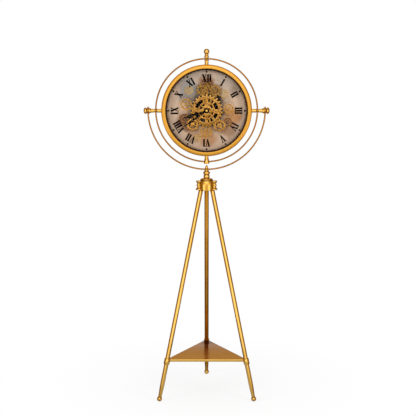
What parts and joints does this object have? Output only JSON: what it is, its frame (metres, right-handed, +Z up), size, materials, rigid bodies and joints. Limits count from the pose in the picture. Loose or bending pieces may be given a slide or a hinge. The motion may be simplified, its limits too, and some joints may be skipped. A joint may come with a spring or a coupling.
{
  "type": "tripod floor clock",
  "caption": "Gold floor clock with open gears: a round head tilts in a half ring on a tripod with a triangular shelf.",
  "frame": {"origin": "on the floor, in the middle of the clock's bounding box", "axes": "+X to the viewer's right, along the tilt axis; +Y from the dial towards the back, so the dial faces -Y; +Z up"},
  "size_m": [0.5336, 0.3759, 1.5],
  "materials": {
    "gold_lacquer": "antique gold lacquer over plated steel, satin to glossy",
    "shelf_lacquer": "glossy antique gold lacquer on folded sheet",
    "ring_lacquer": "antique gold lacquer on bent round rod",
    "turned_brass": "turned and polished, lacquered",
    "bezel_brass": "fine circular brushing, lacquered",
    "gear_brass": "stamped sheet, lightly brushed",
    "plated_steel": "zinc plated",
    "window_glass": "clear float glass",
    "printed_dial": "matte print on aluminium plate",
    "dark_brown_paint": "matte",
    "black_paint": "satin",
    "black_plastic": "moulded, fine grain",
    "black_rubber": "matte",
    "battery_sleeve": "shrink sleeve"
  },
  "bodies": {
    "stand": {"leg_left": "gold_lacquer", "leg_right": "gold_lacquer", "leg_rear": "gold_lacquer", "foot_left": "gold_lacquer", "foot_right": "gold_lacquer", "foot_rear": "gold_lacquer", "shelf_clamp_left": "gold_lacquer", "shelf_clamp_right": "gold_lacquer", "shelf_clamp_rear": "gold_lacquer", "shelf": "shelf_lacquer", "hub": "gold_lacquer", "hub_bolt_left": "gold_lacquer", "hub_bolt_right": "gold_lacquer", "hub_bolt_rear": "gold_lacquer", "hub_cap": "turned_brass", "spire": "turned_brass", "yoke": "ring_lacquer"},
    "head": {"case": "gold_lacquer", "bezel": "bezel_brass", "glass": "window_glass", "glass_gasket": "black_rubber", "inner_ring": "dark_brown_paint", "dial": "printed_dial", "back_cover": "black_paint", "movement": "black_plastic", "movement_battery": "battery_sleeve", "gear_motor": "black_plastic", "motor_battery": "battery_sleeve", "hoop": "ring_lacquer", "stem_top": "turned_brass", "finial": "turned_brass", "stem_left": "turned_brass", "stem_right": "turned_brass", "stem_bottom": "turned_brass", "bell_nut": "turned_brass", "side_sleeve_left": "turned_brass", "side_sleeve_right": "turned_brass", "knob_left": "turned_brass", "knob_right": "turned_brass", "gear_carrier": "gear_brass", "gear_bridge": "gear_brass", "centre_nut": "plated_steel"},
    "hour": {"hour_hand": "black_paint"},
    "minute": {"minute_hand": "black_paint"},
    "second": {"second_hand": "black_paint"},
    "setting": {"setting_knob": "black_plastic"},
    "main_wheels": {"main_wheel": "gear_brass", "coarse_wheel": "gear_brass"},
    "driver": {"drive_wheel": "gear_brass"},
    "idler": {"idler_wheel": "gear_brass"},
    "pinion_left": {"left_pinion": "gear_brass"},
    "pinion_right": {"right_pinion": "gear_brass"}
  },
  "joints": [
    {"name": "head_tilt", "type": "hinge", "parent": "stand", "child": "head", "pos_m": [0, -0.059, 1.244], "axis": [1, 0, 0], "range_deg": [-170, 170]},
    {"name": "minute_turn", "type": "hinge", "parent": "head", "child": "minute", "pos_m": [0, -0.0731, 1.244], "axis": [0, 1, 0], "continuous": true},
    {"name": "hour_turn", "type": "hinge", "parent": "head", "child": "hour", "pos_m": [0, -0.0711, 1.244], "axis": [0, 1, 0], "continuous": true},
    {"name": "second_turn", "type": "hinge", "parent": "head", "child": "second", "pos_m": [0, -0.075, 1.244], "axis": [0, 1, 0], "continuous": true},
    {"name": "setting_turn", "type": "hinge", "parent": "head", "child": "setting", "pos_m": [0.012, -0.0362, 1.255], "axis": [0, 1, 0], "continuous": true},
    {"name": "wheels_turn", "type": "hinge", "parent": "head", "child": "main_wheels", "pos_m": [0, -0.0635, 1.244], "axis": [0, 1, 0], "continuous": true},
    {"name": "driver_turn", "type": "hinge", "parent": "head", "child": "driver", "pos_m": [-0.05894, -0.06525, 1.18628], "axis": [0, 1, 0], "continuous": true},
    {"name": "idler_turn", "type": "hinge", "parent": "head", "child": "idler", "pos_m": [0.05467, -0.06525, 1.18221], "axis": [0, 1, 0], "continuous": true},
    {"name": "pinion_left_turn", "type": "hinge", "parent": "head", "child": "pinion_left", "pos_m": [-0.02058, -0.06175, 1.32905], "axis": [0, 1, 0], "continuous": true},
    {"name": "pinion_right_turn", "type": "hinge", "parent": "head", "child": "pinion_right", "pos_m": [0.03632, -0.06175, 1.32635], "axis": [0, 1, 0], "continuous": true}
  ],
  "couplings": [
    {"joint": "hour_turn", "follows": "minute_turn", "ratio": 0.083333},
    {"joint": "setting_turn", "follows": "minute_turn", "ratio": -3},
    {"joint": "driver_turn", "follows": "wheels_turn", "ratio": -2.3},
    {"joint": "idler_turn", "follows": "wheels_turn", "ratio": -2.3},
    {"joint": "pinion_left_turn", "follows": "wheels_turn", "ratio": -2.8889},
    {"joint": "pinion_right_turn", "follows": "wheels_turn", "ratio": -2.6}
  ]
}
